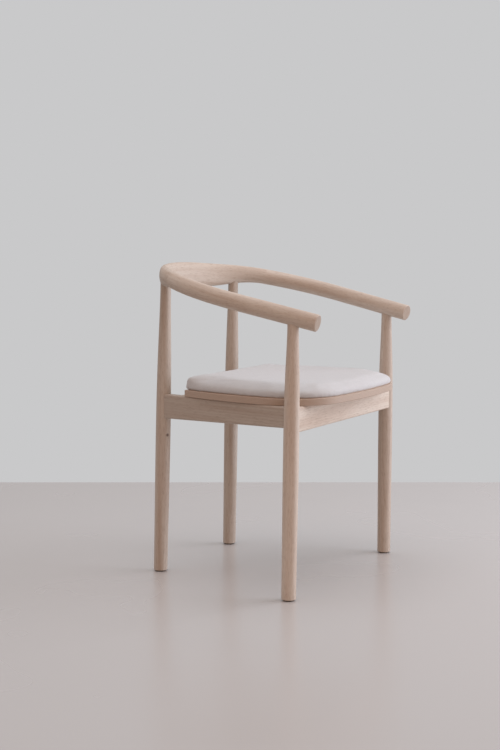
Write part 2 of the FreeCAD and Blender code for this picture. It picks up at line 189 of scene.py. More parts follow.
# Grain space of a bent board: +Z runs round the back and then straight along the arms
def bentGrain(tree, phase):
    add = partial(addNode, tree)
    place = add("ShaderNodeTexCoord").outputs["Object"]
    x, y, z = add("ShaderNodeSeparateXYZ", (place,)).outputs
    rearward = add("ShaderNodeMath", (y, horseshoe["centreY"]), operation="SUBTRACT")
    behind = add("ShaderNodeMath", (rearward, 0.0), operation="MAXIMUM")
    forward = add("ShaderNodeMath", (horseshoe["centreY"], y), operation="SUBTRACT")
    ahead = add("ShaderNodeMath", (forward, 0.0), operation="MAXIMUM")
    side = add("ShaderNodeMath", (x,), operation="ABSOLUTE")
    sideSquare = add("ShaderNodeMath", (side, side), operation="MULTIPLY")
    behindSquare = add("ShaderNodeMath", (behind, behind), operation="MULTIPLY")
    square = add("ShaderNodeMath", (sideSquare, behindSquare), operation="ADD")
    reach = add("ShaderNodeMath", (square,), operation="SQRT")
    angle = add("ShaderNodeMath", (side, behind), operation="ARCTAN2")
    turned = add("ShaderNodeMath", (angle, horseshoe["radius"]), operation="MULTIPLY")
    length = add("ShaderNodeMath", (turned, ahead), operation="ADD")
    half = add("ShaderNodeMath", (x,), operation="SIGN")
    along = add("ShaderNodeMath", (length, half), operation="MULTIPLY")
    out = add("ShaderNodeMath", (reach, horseshoe["radius"]), operation="SUBTRACT")
    plane = add("ShaderNodeMath", (y, horseshoe["rise"], horseshoe["height"]),
                operation="MULTIPLY_ADD")
    up = add("ShaderNodeMath", (z, plane), operation="SUBTRACT")
    moved = add("ShaderNodeMath", (along, phase), operation="ADD")
    return add("ShaderNodeCombineXYZ", (out, up, moved))


# Early and late wood from the rings, soft bands of tone along the board, and open pores.
# In a colour mix, sockets 0, 6 and 7 are the share and the two colours, and output 2 the result.
def woodMaterial(name, look, grain, along, seed, tone=1.0, knot=None):
    material, tree = newMaterial(name)
    add = partial(addNode, tree)
    space = grain(tree)

    def streaks(size, detail, offset):    # offsets keep one pattern from lining up with another
        width, length = size
        scale = (1 / (width * mm), 1 / (width * mm), 1 / (length * mm))
        stretched = add("ShaderNodeMapping", {"Vector": space, "Scale": scale,
                                              "Location": (offset, seed, offset * 0.7)})
        return add("ShaderNodeTexNoise", {"Vector": stretched, "Scale": 1.0, "Detail": detail,
                                          "Roughness": 0.55})

    wander = add("ShaderNodeMapping", {"Vector": space, "Scale": look["waverPace"],
                                       "Location": (seed, 3.1, 5.7)})
    waver = add("ShaderNodeTexNoise", {"Vector": wander, "Scale": 1.0, "Detail": 2.0})
    squares = []
    for side, pith in zip(add("ShaderNodeSeparateXYZ", (space,)).outputs, look["ringPith"]):
        shift = add("ShaderNodeMath", (side, pith * mm), operation="ADD")
        squares.append(add("ShaderNodeMath", (shift, shift), operation="MULTIPLY"))
    square = add("ShaderNodeMath", squares, operation="ADD")
    radius = add("ShaderNodeMath", (square,), operation="SQRT")
    swung = add("ShaderNodeMath", (waver, look["waver"] * mm, radius), operation="MULTIPLY_ADD")
    rings = add("ShaderNodeMath", (swung, look["ringSpacing"] * mm), operation="DIVIDE")
    ring = add("ShaderNodeMath", (rings,), operation="FRACT")
    late = add("ShaderNodeValToRGB", (ring,), look["ringStops"])
    band = streaks(look["streak"], 2.0, 4.3)
    bandShare = add("ShaderNodeValToRGB", (band,), look["streakStops"])
    pores = streaks(look["poreSize"], 1.0, 9.1)
    poreMask = add("ShaderNodeValToRGB", (pores,), look["poreStops"])
    poreShare = add("ShaderNodeMath", (poreMask, look["poreStrength"]), operation="MULTIPLY")
    patch = streaks(look["ringFade"], 1.0, 13.7)
    strength = add("ShaderNodeValToRGB", (patch,), look["ringStrength"])
    ringShare = add("ShaderNodeMath", (late, strength), operation="MULTIPLY")
    normal = add("ShaderNodeNewGeometry").outputs["Normal"]
    way = add("ShaderNodeVectorMath", (normal, along), operation="DOT_PRODUCT").outputs["Value"]
    endOn = add("ShaderNodeMath", (way,), operation="ABSOLUTE")
    cut = add("ShaderNodeValToRGB", (endOn,), look["endStops"])
    endShare = add("ShaderNodeMath", (cut, look["endStrength"]), operation="MULTIPLY")
    # Every grain colour is scaled by the board's tone, which is partly painted shade and painted
    # light
    colour = hexColour(look["light"], tone)
    for share, part in ((bandShare, "middle"), (ringShare, "late"), (poreShare, "pore"),
                        (endShare, "endGrain")):
        colour = add("ShaderNodeMix", {0: share, 6: colour, 7: hexColour(look[part], tone)},
                     data_type="RGBA").outputs[2]
    if knot:    # a pin knot with a soft dark halo
        place = add("ShaderNodeTexCoord").outputs["Object"]
        gap = add("ShaderNodeVectorMath", (place, knot["place"]), operation="DISTANCE")
        share = add("ShaderNodeMath", (gap.outputs["Value"], knot["size"] * mm),
                    operation="DIVIDE")
        mask = add("ShaderNodeValToRGB", (share,), knot["stops"])
        colour = add("ShaderNodeMix", {0: mask, 6: colour, 7: hexColour(knot["colour"])},
                     data_type="RGBA").outputs[2]
    smooth, dull = look["rough"]
    roughness = add("ShaderNodeMath", (band, dull - smooth, smooth), operation="MULTIPLY_ADD")
    ringHeight = add("ShaderNodeMath", (late, -look["ringDepth"]), operation="MULTIPLY")
    height = add("ShaderNodeMath", (poreMask, -look["poreDepth"], ringHeight),
                 operation="MULTIPLY_ADD")
    bump = add("ShaderNodeBump", {"Height": height, "Strength": look["bumpStrength"],
                                  "Distance": look["bumpDepth"] * mm})
    finishMaterial(tree, colour, roughness, look["shader"], bump)
    return material


for name, board in boards.items():
    if "phase" in board:
        grain = partial(bentGrain, phase=board["phase"])
    else:
        grain = partial(straightGrain, centre=middleOf(name), along=board["along"])
    knot = pinKnot if name == pinKnot["board"] else None
    paint([name], woodMaterial("soapedWood_" + name, soapedWood, grain, board["along"],
                               board["seed"], board["tone"], knot))
corners = ["%s_%%s_%s" % (end, side) for end in ("front", "rear") for side in ("left", "right")]
hiddenWood = [corner % "block" for corner in corners] + ["seat_batten", "arm_joint_tenons"]
hiddenGrain = partial(straightGrain, centre=(0, 0, 0), along=across)
paint(hiddenWood, woodMaterial("planedBeech", planedBeech, hiddenGrain, across, hiddenSeed))
print("wood done")


# Plywood: rotary-cut veneer faces, and an edge of thin plies that run lengthways and crossways
# in turn, so that it shows fine pale and dark lines.

plywoodLook = {
    "face": "#cfbcae", "faceDark": "#bca493",
    "edgeLong": "#c0ab9b", "edgeCross": "#a99280", "glue": "#7d6557",
    "ply": 1.45,                                  # mm of each veneer
    "crossStops": ((0.44, 0), (0.56, 1)),
    "glueStops": ((0.0, 1), (0.08, 0), (0.93, 0), (1.0, 1)), "glueStrength": 0.45,
    "fibrePace": (700.0, 700.0, 2500.0),          # fibres per metre
    "figure": (60.0, 420.0), "figurePace": 4.0,   # mm across and along, and changes per metre up
    "figureTwist": 0.6, "figureLines": 9.0,
    "lineStops": ((0.0, 0), (0.8, 0.7), (1.0, 0)),
    "flatStops": ((0.75, 0), (0.9, 1)),           # where a face gives way to the edge
    "rough": (0.55, 0.67),
    "bumpStrength": 0.25, "bumpDepth": 0.1,       # mm
    "shader": {"IOR": 1.5, "Specular IOR Level": 0.4},
}


def plywoodMaterial(name, low):
    material, tree = newMaterial(name)
    add = partial(addNode, tree)
    look = plywoodLook
    shades = {part: hexColour(look[part])
              for part in ("face", "faceDark", "edgeLong", "edgeCross", "glue")}
    place = add("ShaderNodeTexCoord").outputs["Object"]
    up = add("ShaderNodeSeparateXYZ", (place,)).outputs[2]
    above = add("ShaderNodeMath", (up, low), operation="SUBTRACT")
    layer = add("ShaderNodeMath", (above, look["ply"] * mm), operation="DIVIDE")
    odd = add("ShaderNodeMath", (layer, 1.0), operation="PINGPONG")
    crossMask = add("ShaderNodeValToRGB", (odd,), look["crossStops"])
    inLayer = add("ShaderNodeMath", (layer,), operation="FRACT")
    glueMask = add("ShaderNodeValToRGB", (inLayer,), look["glueStops"])
    glueShare = add("ShaderNodeMath", (glueMask, look["glueStrength"]), operation="MULTIPLY")
    fibre = add("ShaderNodeMapping", {"Vector": place, "Scale": look["fibrePace"]})
    fleck = add("ShaderNodeTexNoise", {"Vector": fibre, "Scale": 1.0, "Detail": 2.0})
    width, length = look["figure"]
    spread = add("ShaderNodeMapping", {
        "Vector": place, "Scale": (1000 / width, 1000 / length, look["figurePace"])})
    figure = add("ShaderNodeTexNoise", {"Vector": spread, "Scale": 1.0, "Detail": 3.0,
                                        "Distortion": look["figureTwist"]})
    lines = add("ShaderNodeMath", (figure, look["figureLines"]), operation="MULTIPLY")
    line = add("ShaderNodeMath", (lines,), operation="FRACT")
    grainLine = add("ShaderNodeValToRGB", (line,), look["lineStops"])
    normal = add("ShaderNodeNewGeometry").outputs["Normal"]
    facing = add("ShaderNodeSeparateXYZ", (normal,)).outputs[2]
    level = add("ShaderNodeMath", (facing,), operation="ABSOLUTE")
    flat = add("ShaderNodeValToRGB", (level,), look["flatStops"])
    crossTone = add("ShaderNodeMix", {0: fleck, 6: shades["edgeCross"], 7: shades["edgeLong"]},
                    data_type="RGBA").outputs[2]
    plies = add("ShaderNodeMix", {0: crossMask, 6: shades["edgeLong"], 7: crossTone},
                data_type="RGBA").outputs[2]
    edge = add("ShaderNodeMix", {0: glueShare, 6: plies, 7: shades["glue"]},
               data_type="RGBA").outputs[2]
    face = add("ShaderNodeMix", {0: grainLine, 6: shades["face"], 7: shades["faceDark"]},
               data_type="RGBA").outputs[2]
    colour = add("ShaderNodeMix", {0: flat, 6: edge, 7: face}, data_type="RGBA").outputs[2]
    smooth, dull = look["rough"]
    roughness = add("ShaderNodeMath", (fleck, dull - smooth, smooth), operation="MULTIPLY_ADD")
    bump = add("ShaderNodeBump", {"Height": fleck, "Strength": look["bumpStrength"],
                                  "Distance": look["bumpDepth"] * mm})
    finishMaterial(tree, colour, roughness, look["shader"], bump)
    return material


paint(["seat_board"], plywoodMaterial("lacqueredPlywood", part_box("seat_board")[0].z))
paint(["pad_base"], plywoodMaterial("rawPlywood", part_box("pad_base")[0].z))
print("plywood done")


# Moulded nylon is a dull dark brown with a fine grit; zinc-plated steel a soft, slightly
# clouded grey sheen. Both are fine grit over slow changes of tone, with grit and bump in mm.

nylonLook = {"dark": "#54493f", "light": "#655a50", "grit": 0.5, "rough": (0.4, 0.6),
             "bumpStrength": 0.3, "bumpDepth": 0.06, "shader": {"IOR": 1.53}}
zincLook = {"dark": "#9a9c9f", "light": "#b4b5b3", "grit": 0.25, "rough": (0.25, 0.45),
            "bumpStrength": 0.3, "bumpDepth": 0.02, "shader": {"Metallic": 1.0}}
cloudPace = 90.0    # changes of tone per metre


def grittyMaterial(name, look):
    material, tree = newMaterial(name)
    add = partial(addNode, tree)
    place = add("ShaderNodeTexCoord").outputs["Object"]
    fine = add("ShaderNodeTexNoise", {"Vector": place, "Scale": 1 / (look["grit"] * mm),
                                      "Detail": 3.0})
    slow = add("ShaderNodeTexNoise", {"Vector": place, "Scale": cloudPace, "Detail": 1.0})
    colour = add("ShaderNodeMix", {0: slow, 6: hexColour(look["dark"]),
                                   7: hexColour(look["light"])}, data_type="RGBA").outputs[2]
    smooth, dull = look["rough"]
    roughness = add("ShaderNodeMath", (fine, dull - smooth, smooth), operation="MULTIPLY_ADD")
    bump = add("ShaderNodeBump", {"Height": fine, "Strength": look["bumpStrength"],
                                  "Distance": look["bumpDepth"] * mm})
    finishMaterial(tree, colour, roughness, look["shader"], bump)
    return material


zinc = grittyMaterial("zincPlatedSteel", zincLook)
paint([corner % "glide" for corner in corners], grittyMaterial("mouldedNylon", nylonLook))
paint(["glide_nails", "pad_tnuts"], zinc)
print("glides and fittings done")


# Wood screws: a countersunk head with a cross recess, and a thread that winds down to a point.

screwSizes = {
    "headRadius": 4.0, "headDepth": 2.6, "shankRadius": 1.95, "rootRadius": 1.4,   # mm
    "pitch": 1.6, "point": 4.0,                                    # mm
    "recessWidth": 0.75, "recessReach": 2.3, "recessDepth": 1.3,   # mm, half width, half length
    "recessFoot": 0.7, "recessEnd": 0.75,   # shares of width and reach where it is fully deep
    "faceShare": 0.16, "coneShare": 0.22,   # how far down the sheet the face and the cone end
    "around": 48, "along": 130, "weld": 0.001,
}


# A sheet of points rolled round the axis: face, cone and thread follow down its length
def screwTree(name, material):
    tree = bpy.data.node_groups.new(name, "GeometryNodeTree")
    add = partial(addNode, tree)
    sockets = tree.interface
    sockets.new_socket("Places", in_out="INPUT", socket_type="NodeSocketGeometry")
    for label in ("Length", "Head Radius", "Head Depth", "Shank Radius", "Root Radius", "Pitch",
                  "Point", "Recess Width", "Recess Reach", "Recess Depth"):
        sockets.new_socket(label, in_out="INPUT", socket_type="NodeSocketFloat")
    sockets.new_socket("Screws", in_out="OUTPUT", socket_type="NodeSocketGeometry")
    given = add("NodeGroupInput").outputs
    faceEnd, coneEnd = screwSizes["faceShare"], screwSizes["coneShare"]
    circle = 2 * math.pi

    sheet = add("GeometryNodeMeshGrid", {"Size X": 1.0, "Size Y": 1.0,
                                         "Vertices X": screwSizes["around"] + 1,
                                         "Vertices Y": screwSizes["along"]})
    spot = add("ShaderNodeSeparateXYZ", (add("GeometryNodeInputPosition"),)).outputs
    aside = add("ShaderNodeMath", (spot[0], 0.5), operation="ADD")
    turn = add("ShaderNodeMath", (aside, circle), operation="MULTIPLY")
    share = add("ShaderNodeMath", (spot[1], 0.5), operation="ADD")
    faceRadius = add("ShaderNodeMapRange", (share, 0.0, faceEnd, 0.0, given["Head Radius"]))
    coneRadius = add("ShaderNodeMapRange", (share, faceEnd, coneEnd, given["Head Radius"],
                                            given["Shank Radius"]))
    coneDepth = add("ShaderNodeMapRange", (share, faceEnd, coneEnd, 0.0, given["Head Depth"]))
    shankLength = add("ShaderNodeMath", (given["Length"], given["Head Depth"]),
                      operation="SUBTRACT")
    shankDepth = add("ShaderNodeMapRange", (share, coneEnd, 1.0, 0.0, shankLength))
    depth = add("ShaderNodeMath", (coneDepth, shankDepth), operation="ADD")

    pitches = add("ShaderNodeMath", (depth, given["Pitch"]), operation="DIVIDE")
    turns = add("ShaderNodeMath", (turn, circle), operation="DIVIDE")
    wound = add("ShaderNodeMath", (pitches, turns), operation="ADD")
    wind = add("ShaderNodeMath", (wound,), operation="FRACT")
    doubled = add("ShaderNodeMath", (wind, 2.0), operation="MULTIPLY")
    flank = add("ShaderNodeMath", (doubled, 1.0), operation="PINGPONG")
    ridge = add("ShaderNodeMath", (flank, 2.0), operation="POWER")
    threadHeight = add("ShaderNodeMath", (given["Shank Radius"], given["Root Radius"]),
                       operation="SUBTRACT")
    thread = add("ShaderNodeMath", (ridge, threadHeight, given["Root Radius"]),
                 operation="MULTIPLY_ADD")
    toPoint = add("ShaderNodeMath", (given["Length"], depth), operation="SUBTRACT")
    tip = add("ShaderNodeMapRange", (toPoint, 0.0, given["Point"], 0.0, 1.0))
    started = add("ShaderNodeMath", (share, coneEnd), operation="GREATER_THAN")
    tapered = add("ShaderNodeMath", (thread, tip), operation="MULTIPLY")
    shank = add("ShaderNodeMath", (tapered, started), operation="MULTIPLY")
    headRadius = add("ShaderNodeMath", (faceRadius, coneRadius), operation="MINIMUM")
    onHead = add("ShaderNodeMath", (1.0, started), operation="SUBTRACT")
    head = add("ShaderNodeMath", (headRadius, onHead), operation="MULTIPLY")
    body = add("ShaderNodeMath", (shank, head), operation="ADD")
    radius = add("ShaderNodeMath", (body, 0.0), operation="MAXIMUM")
    cosine = add("ShaderNodeMath", (turn,), operation="COSINE")
    sine = add("ShaderNodeMath", (turn,), operation="SINE")
    x = add("ShaderNodeMath", (radius, cosine), operation="MULTIPLY")
    y = add("ShaderNodeMath", (radius, sine), operation="MULTIPLY")

    farX = add("ShaderNodeMath", (x,), operation="ABSOLUTE")
    farY = add("ShaderNodeMath", (y,), operation="ABSOLUTE")
    narrow = add("ShaderNodeMath", (farX, farY), operation="MINIMUM")
    deepWidth = add("ShaderNodeMath", (given["Recess Width"], screwSizes["recessFoot"]),
                    operation="MULTIPLY")
    deepReach = add("ShaderNodeMath", (given["Recess Reach"], screwSizes["recessEnd"]),
                    operation="MULTIPLY")
    inSlot = add("ShaderNodeMapRange", (narrow, given["Recess Width"], deepWidth, 0.0, 1.0))
    inReach = add("ShaderNodeMapRange", (radius, given["Recess Reach"], deepReach, 0.0, 1.0))
    onFace = add("ShaderNodeMath", (share, faceEnd), operation="LESS_THAN")
    inCross = add("ShaderNodeMath", (inSlot, inReach), operation="MULTIPLY")
    crossDepth = add("ShaderNodeMath", (given["Recess Depth"], onFace), operation="MULTIPLY")
    sunk = add("ShaderNodeMath", (inCross, crossDepth), operation="MULTIPLY")
    z = add("ShaderNodeMath", (depth, sunk), operation="ADD")

    rolled = add("ShaderNodeCombineXYZ", (x, y, z))
    shaped = add("GeometryNodeSetPosition", {"Geometry": sheet, "Position": rolled})
    welded = add("GeometryNodeMergeByDistance", {"Geometry": shaped,
                                                 "Distance": screwSizes["weld"] * mm})
    way = add("GeometryNodeInputNamedAttribute", {"Name": "way"}, data_type="FLOAT_VECTOR")
    aimed = add("FunctionNodeAlignRotationToVector", {"Vector": way}, axis="Z")
    placed = add("GeometryNodeInstanceOnPoints", {"Points": given["Places"],
                                                  "Instance": welded, "Rotation": aimed})
    real = add("GeometryNodeRealizeInstances", {"Geometry": placed})
    done = add("GeometryNodeSetMaterial", {"Geometry": real, "Material": material})
    add("NodeGroupOutput", {"Screws": done})
    return tree


# Head centre, direction and length of each screw in a CAD node
def screwPlaces(name):
    mesh = bmesh.new()
    mesh.from_mesh(nodes[name].data)
    bmesh.ops.remove_doubles(mesh, verts=mesh.verts, dist=weldGap)
    left = set(mesh.verts)
    found = []
    while left:
        queue = [min(left, key=lambda v: v.index)]
        left.remove(queue[0])
        for vertex in queue:
            for edge in vertex.link_edges:
                other = edge.other_vert(vertex)
                if other in left:
                    left.remove(other)
                    queue.append(other)
        points = np.array([v.co for v in queue])
        middle = points.mean(axis=0)
        axis = np.linalg.svd(points - middle)[2][0]
        along = (points - middle) @ axis
        spread = np.linalg.norm(points - middle - along[:, None] * axis, axis=1)
        if along[spread.argmax()] > 0:    # the widest ring is the head's
            axis, along = -axis, -along
        found.append((middle + axis * along.min(), axis, float(along.max() - along.min())))
    mesh.free()
    return found


def coordinates(mesh):
    flat = np.zeros(len(mesh.vertices) * 3)
    mesh.vertices.foreach_get("co", flat)
    return flat.reshape(-1, 3)


def moveTo(obj, points):
    obj.data.vertices.foreach_set("co", points.ravel())
    obj.data.update()


def evaluatedMesh(obj):
    bpy.context.view_layer.update()
    finished = obj.evaluated_get(bpy.context.evaluated_depsgraph_get())
    return bpy.data.meshes.new_from_object(finished)


def applyModifiers(obj):
    mesh = evaluatedMesh(obj)
    obj.modifiers.clear()
    obj.data = mesh


def addObject(name, mesh):
    obj = bpy.data.objects.new(name, mesh)
    bpy.context.scene.collection.objects.link(obj)
    return obj


def buildScrews(name, tree):
    places = screwPlaces(name)
    mesh = bpy.data.meshes.new(name + "Heads")
    mesh.from_pydata([tuple(head) for head, _, _ in places], [], [])
    ways = mesh.attributes.new("way", "FLOAT_VECTOR", "POINT")
    ways.data.foreach_set("vector", np.array([axis for _, axis, _ in places]).ravel())
    obj = addObject(name + "Threaded", mesh)
    modifier = obj.modifiers.new("screws", "NODES")
    modifier.node_group = tree
    sizes = {**screwSizes, "length": max(length for _, _, length in places) / mm}
    for item in tree.interface.items_tree:
        if item.in_out == "INPUT" and item.socket_type == "NodeSocketFloat":
            key = item.name[0].lower() + item.name[1:].replace(" ", "")
            modifier[item.identifier] = sizes[key] * mm
    applyModifiers(obj)
    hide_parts(name)
    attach(obj, "root")
    print(name, "done:", len(places), "screws,", len(obj.data.polygons), "faces")


# Seat pad: cloth pulled over foam, full and tight, rolled under all round. Lengths in mm.

pad = {
    "voxel": 4.5,
    "wall": 10.0,             # upright side before it rolls over
    "roll": 40.0,             # in plan, over which the edge rolls
    "rollPower": 2.3,
    "rearWall": 21.0, "rearRoll": 11.0, "rearReach": 55.0,   # the squarer rear edge
    "rim": 21.5, "rimRise": 7.5,   # height where the roll ends in front, and the rise to the rear
    "tuck": 3.6, "tuckHeight": 7.0, "tuckReach": 12.0,       # the lower edge pulls in
    "held": 2.5,              # height of the foot that stays put while the cover swells
    "cloth": {"quality": 6, "mass": 0.3, "tension_stiffness": 30, "compression_stiffness": 30,
              "shear_stiffness": 15, "bending_stiffness": 8,
              "use_pressure": True, "uniform_pressure_force": 4.0},
    "steps": 20,
    "cap": 5.0,               # that the swelling may move a point
    "relax": 24,              # rounds of evening out, for a taut cover without wrinkles
    "pleatDepth": 0.9, "pleatSpacing": 8.0, "pleatReach": 34.0,   # gathers at the rear corners
    "pleatFoot": 4.0, "pleatTop": 23.4, "pleatFade": 18.0,        # heights they run between
    "pleatStrip": 12.0,       # strip of the rear edge whose ends are the corners
    "overTop": 1.5,           # that the cover may stand above the slab
    "hollowInset": 7.0, "hollowHeight": 2.6, "hollowGap": 0.4,    # room under it for the fittings
}


# Ordered plan outline of the CAD pad at half height
def padOutline():
    low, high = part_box("seat_pad")
    mesh = bmesh.new()
    mesh.from_mesh(nodes["seat_pad"].data)
    bmesh.ops.remove_doubles(mesh, verts=mesh.verts, dist=weldGap)
    cut = bmesh.ops.bisect_plane(mesh, geom=mesh.verts[:] + mesh.edges[:] + mesh.faces[:],
                                 plane_co=(0, 0, (low.z + high.z) / 2), plane_no=(0, 0, 1))
    points = np.array([v.co[:2] for v in cut["geom_cut"] if isinstance(v, bmesh.types.BMVert)])
    mesh.free()
    order = np.argsort(np.arctan2(points[:, 1], points[:, 0]))
    return points[order], low.z, high.z


# Distance in plan from each point to the outline
def distanceInside(points, outline):
    best = np.full(len(points), 1e9)
    for a, b in zip(outline, np.roll(outline, -1, axis=0)):
        edge = b - a
        share = np.clip(((points - a) @ edge) / max(edge @ edge, 1e-12), 0, 1)
        best = np.minimum(best, np.linalg.norm(points - a - share[:, None] * edge, axis=1))
    return best


def remesh(obj, size):
    modifier = obj.modifiers.new("remesh", "REMESH")
    modifier.mode = "VOXEL"
    modifier.voxel_size = size * mm
    applyModifiers(obj)


def smoothStep(value):
    value = np.clip(value, 0, 1)
    return value * value * (3 - 2 * value)


# Rolls the slab's edges over, squarer at the rear, with the top rising towards the rear
def shapePad(obj, outline, base, height):
    points = coordinates(obj.data)
    inside = distanceInside(points[:, :2], outline) / mm
    share = np.clip((points[:, 2] - base) / height, 0, 1)
    front, rear = outline[:, 1].min(), outline[:, 1].max()
    nearRear = smoothStep(1 - (rear - points[:, 1]) / (pad["rearReach"] * mm))
    wall = pad["wall"] + (pad["rearWall"] - pad["wall"]) * nearRear
    rim = pad["rim"] + pad["rimRise"] * np.clip((points[:, 1] - front) / (rear - front), 0, 1)
    away = np.clip(1 - inside / (pad["roll"] + (pad["rearRoll"] - pad["roll"]) * nearRear), 0, 1)
    roll = (1 - away ** pad["rollPower"]) ** (1 / pad["rollPower"])
    top = wall + (rim - wall) * roll
    points[:, 2] = base + share * top * mm
    moveTo(obj, points)


# Lets the cover swell on the foam, held where it rests on the board
def swell(obj, base):
    start = coordinates(obj.data)
    held = obj.vertex_groups.new(name="held")
    resting = np.where(start[:, 2] < base + pad["held"] * mm)[0]
    held.add([int(i) for i in resting], 1.0, "REPLACE")
    settings = obj.modifiers.new("cloth", "CLOTH").settings
    for name, value in pad["cloth"].items():
        setattr(settings, name, value)
    settings.vertex_group_mass = "held"
    settings.effector_weights.gravity = 0
    for step in range(1, pad["steps"] + 1):
        bpy.context.scene.frame_set(step)
    swollen = evaluatedMesh(obj)
    bpy.context.scene.frame_set(1)
    obj.modifiers.clear()
    obj.vertex_groups.clear()
    shift = coordinates(swollen) - start
    bpy.data.meshes.remove(swollen)
    length = np.linalg.norm(shift, axis=1)
    shift *= np.minimum(1.0, pad["cap"] * mm / np.maximum(length, 1e-9))[:, None]
    ends = np.zeros(len(obj.data.edges) * 2, dtype=int)
    obj.data.edges.foreach_get("vertices", ends)
    first, second = ends.reshape(-1, 2).T
    count = np.bincount(ends, minlength=len(start))[:, None]
    for step in range(pad["relax"]):
        total = np.zeros_like(shift)
        np.add.at(total, first, shift[second])
        np.add.at(total, second, shift[first])
        shift = (shift + total / count) / 2
    moveTo(obj, start + shift)
    print("pad swelled by up to %.1f mm" % (float(length.max()) / mm))


# Tucks the lower edge in, gathers the rear corners and hollows the underside over its plywood
def finishPad(obj, outline, base, top):
    points = coordinates(obj.data)
    plan = points[:, :2]
    inside = distanceInside(plan, outline) / mm
    middle = np.array([0.0, outline[:, 1].mean()])
    outward = plan - middle
    outward /= np.maximum(np.linalg.norm(outward, axis=1), 1e-6)[:, None]
    height = (points[:, 2] - base) / mm
    low = np.clip(1 - height / pad["tuckHeight"], 0, 1) ** 2
    tuck = low * pad["tuck"] * np.clip(1 - inside / pad["tuckReach"], 0, 1)
    points[:, :2] -= outward * tuck[:, None] * mm
    rear = outline[:, 1].max()
    cornerX = np.abs(outline[outline[:, 1] > rear - pad["pleatStrip"] * mm][:, 0]).max()
    for side in (-1, 1):
        corner = np.array([side * cornerX, rear])
        away = np.linalg.norm(plan - corner, axis=1) / mm
        around = ((plan[:, 0] - corner[0]) * side - (plan[:, 1] - corner[1])) / mm
        wave = np.cos(around * 2 * math.pi / pad["pleatSpacing"])
        gather = wave * np.clip(1 - away / pad["pleatReach"], 0, 1)
        fade = (np.clip(height / pad["pleatFoot"], 0, 1)
                * np.clip((pad["pleatTop"] - height) / pad["pleatFade"], 0, 1))
        points[:, :2] += outward * (gather * fade * pad["pleatDepth"] * mm)[:, None]
    points[:, 2] = np.clip(points[:, 2], base, top + pad["overTop"] * mm)
    under = (height < pad["hollowHeight"]) & (inside > pad["hollowInset"])
    points[under, 2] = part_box("pad_tnuts")[1].z + pad["hollowGap"] * mm
    moveTo(obj, points)


def buildPad():
    outline, base, top = padOutline()
    slab = bmesh.new()
    loop = [slab.verts.new((x, y, base)) for x, y in outline]
    lid = bmesh.ops.extrude_face_region(slab, geom=[slab.faces.new(loop)])
    raised = [v for v in lid["geom"] if isinstance(v, bmesh.types.BMVert)]
    bmesh.ops.translate(slab, verts=raised, vec=(0, 0, top - base))
    bmesh.ops.recalc_face_normals(slab, faces=slab.faces)
    mesh = bpy.data.meshes.new("padCover")
    slab.to_mesh(mesh)
    slab.free()
    obj = addObject("padCover", mesh)
    remesh(obj, pad["voxel"])
    shapePad(obj, outline, base, top - base)
    remesh(obj, pad["voxel"])
    swell(obj, base)
    finer = obj.modifiers.new("finer", "SUBSURF")
    finer.levels = finer.render_levels = 1
    applyModifiers(obj)
    finishPad(obj, outline, base, top)
    obj.data.shade_smooth()
    return obj


# Woven upholstery cloth, off-white wool: matt, with a faint weave and a soft sheen at grazing
# angles. The weave is coarser than the real one so that it shows.

clothLook = {
    "warp": "#d3d2d3", "weft": "#c6c5c5", "shade": "#bbbaba",
    "thread": 1.5, "slub": 14.0,                  # mm
    "strayPace": 160.0, "stray": 0.9,             # strays per metre, and mm that a thread strays
    "cloudStops": ((0.35, 0), (0.75, 1)), "cloudStrength": 0.25,
    "slubHeight": 0.6,                            # against the weave's
    "rough": (0.82, 0.1),                         # least, and how much the slubs add
    "bumpStrength": 0.4, "bumpDepth": 0.25,       # mm
    "shader": {"IOR": 1.5, "Specular IOR Level": 0.25, "Sheen Weight": 0.25,
               "Sheen Roughness": 0.5},
}


